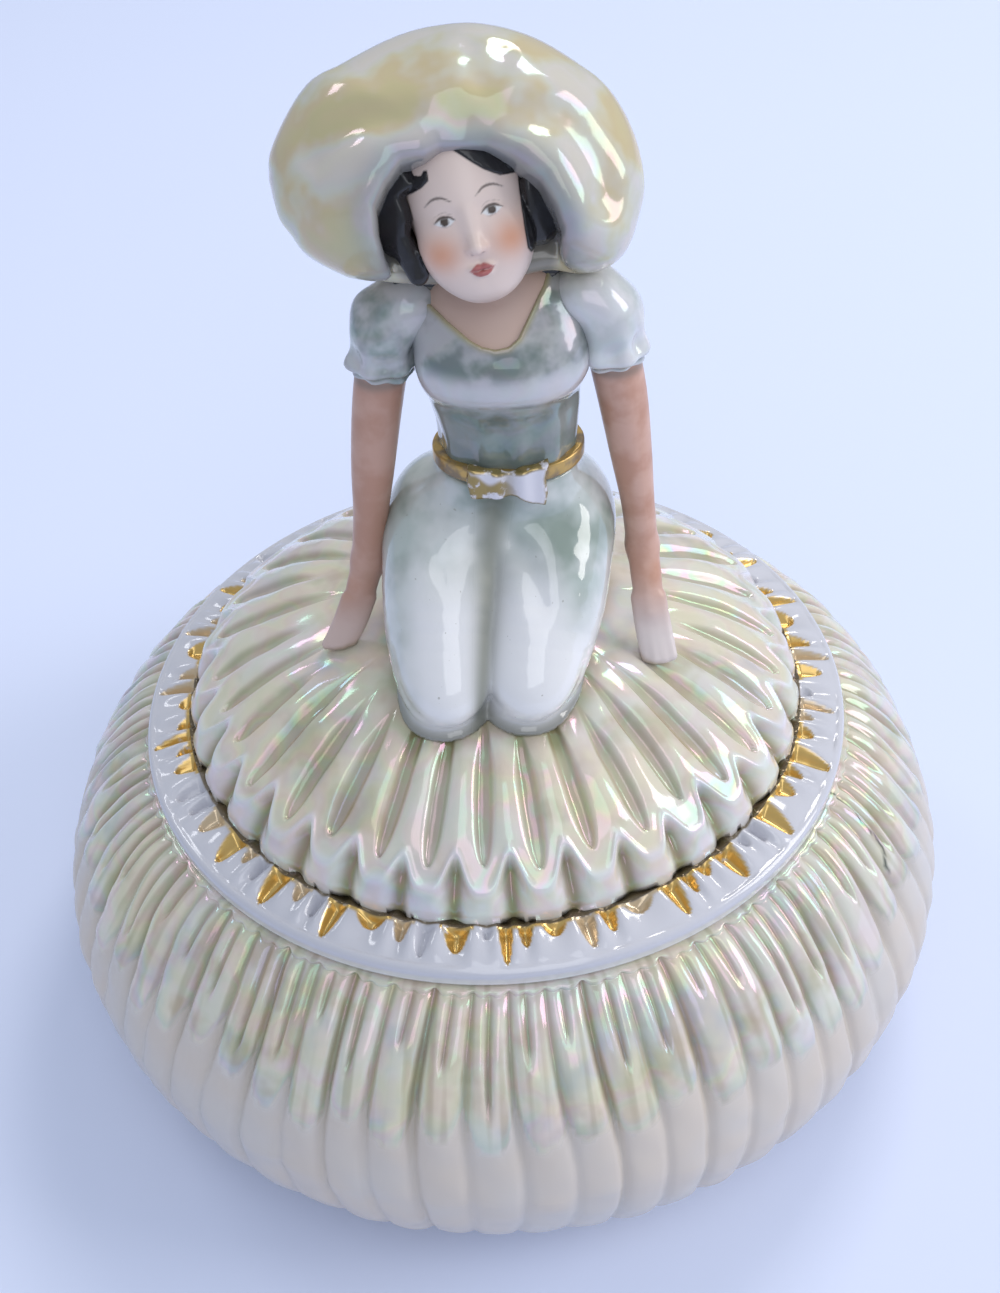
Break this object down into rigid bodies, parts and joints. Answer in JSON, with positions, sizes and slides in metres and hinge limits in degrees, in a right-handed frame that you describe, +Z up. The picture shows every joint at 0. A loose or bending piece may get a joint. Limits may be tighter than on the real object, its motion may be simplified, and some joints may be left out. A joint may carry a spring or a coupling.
{
  "type": "trinket box",
  "caption": "Round pleated porcelain bowl with a lift-off domed lid, on which a lady in a wide hat kneels.",
  "frame": {"origin": "middle of the foot ring, on the surface that the box stands on", "axes": "+Z up along the axis of the bowl and lid, -Y the way the lady looks, +X towards the lady's left hand"},
  "size_m": [0.125, 0.125, 0.1379],
  "materials": {
    "bowl_lustre": "pearl lustre glaze over cream, olive in the grooves",
    "lid_lustre": "pearl lustre glaze over cream, with a white rim and gilt teeth",
    "trouser_glaze": "wet white gloss shaded celadon green",
    "dress_lustre": "mottled celadon and white pearl lustre",
    "gilding": "worn fired gold",
    "bow_glaze": "white gloss with worn gold",
    "skin_paint": "tan and pink fired paint under clear glaze",
    "hair_paint": "black fired paint",
    "hat_lustre": "pearl lustre over ivory with yellow patches"
  },
  "bodies": {
    "bowl": {"bowl": "bowl_lustre"},
    "lid": {"lid": "lid_lustre", "trousers": "trouser_glaze", "bodice": "dress_lustre", "left_sleeve": "dress_lustre", "right_sleeve": "dress_lustre", "belt": "gilding", "bow": "bow_glaze", "head": "skin_paint", "left_arm": "skin_paint", "right_arm": "skin_paint", "hair": "hair_paint", "hat": "hat_lustre"}
  },
  "joints": [
    {"name": "lid_lift", "type": "slide", "parent": "bowl", "child": "lid", "axis": [0, 0, 1], "range_m": [0, 0.06]}
  ]
}
